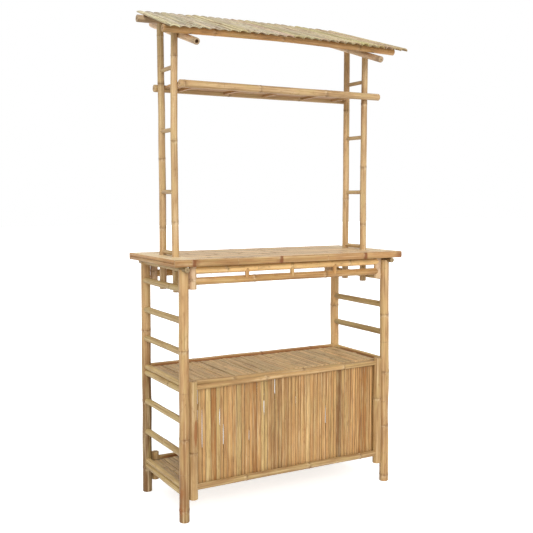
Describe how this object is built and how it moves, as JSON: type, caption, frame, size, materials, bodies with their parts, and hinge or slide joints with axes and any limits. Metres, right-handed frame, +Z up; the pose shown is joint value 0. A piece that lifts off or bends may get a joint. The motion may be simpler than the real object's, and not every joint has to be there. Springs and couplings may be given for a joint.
{
  "type": "tiki bar hut",
  "caption": "Bamboo tiki bar: a counter on ladder-like sides with shelves and a slatted front, and a lift-out upper frame that carries a narrow shelf and a lean-to roof of split bamboo.",
  "frame": {"origin": "on the floor at the middle of the four legs", "axes": "+Z up, +X along the counter to the right as seen from the slatted front, +Y from the slatted front towards the open back"},
  "size_m": [1.1425, 0.5175, 2.1201],
  "materials": {
    "bamboo_pole": "satin",
    "bamboo_rung": "satin",
    "counter_board": "satin",
    "bamboo_edge": "satin",
    "bamboo_slat": "matte",
    "shelf_slat": "matte",
    "roof_slat": "matte"
  },
  "bodies": {
    "root": {"leg_front_left": "bamboo_pole", "leg_front_right": "bamboo_pole", "leg_rear_left": "bamboo_pole", "leg_rear_right": "bamboo_pole", "side_top_rail_left": "bamboo_rung", "side_top_rail_right": "bamboo_rung", "side_rung_left_1": "bamboo_rung", "side_rung_left_2": "bamboo_rung", "side_rung_left_3": "bamboo_rung", "side_rung_left_4": "bamboo_rung", "side_rung_left_5": "bamboo_rung", "side_rung_left_6": "bamboo_rung", "side_rung_left_7": "bamboo_rung", "side_rung_right_1": "bamboo_rung", "side_rung_right_2": "bamboo_rung", "side_rung_right_3": "bamboo_rung", "side_rung_right_4": "bamboo_rung", "side_rung_right_5": "bamboo_rung", "side_rung_right_6": "bamboo_rung", "side_rung_right_7": "bamboo_rung", "upper_ladder_left": "bamboo_pole", "upper_ladder_right": "bamboo_pole", "counter_deck": "counter_board", "counter_end_board_left": "counter_board", "counter_end_board_right": "counter_board", "counter_front_edge": "bamboo_edge", "counter_rear_edge": "bamboo_edge", "apron_stub_front_left": "bamboo_pole", "apron_stub_front_right": "bamboo_pole", "apron_stub_rear_left": "bamboo_pole", "apron_stub_rear_right": "bamboo_pole", "apron_lattice_front": "bamboo_edge", "apron_lattice_rear": "bamboo_edge", "panel_post_left": "bamboo_pole", "panel_post_right": "bamboo_pole", "panel_top_rail": "bamboo_pole", "panel_bottom_rail": "bamboo_pole", "panel_slat_mat": "bamboo_slat", "middle_shelf_side_rail_left": "bamboo_rung", "middle_shelf_side_rail_right": "bamboo_rung", "middle_shelf_deck": "shelf_slat", "middle_shelf_front_rail": "bamboo_pole", "middle_shelf_rear_rail": "bamboo_pole", "bottom_shelf_side_rail_left": "bamboo_rung", "bottom_shelf_side_rail_right": "bamboo_rung", "bottom_shelf_deck": "shelf_slat", "bottom_shelf_rear_rail": "bamboo_pole", "bottom_shelf_rear_stub_left": "bamboo_pole", "bottom_shelf_rear_stub_right": "bamboo_pole", "upper_shelf_front_rail": "bamboo_pole", "upper_shelf_rear_rail": "bamboo_pole", "upper_shelf_deck": "shelf_slat", "rafter_left": "bamboo_pole", "rafter_right": "bamboo_pole", "purlin_front": "bamboo_edge", "purlin_rear": "bamboo_edge", "roof_slats": "roof_slat"}
  },
  "joints": []
}
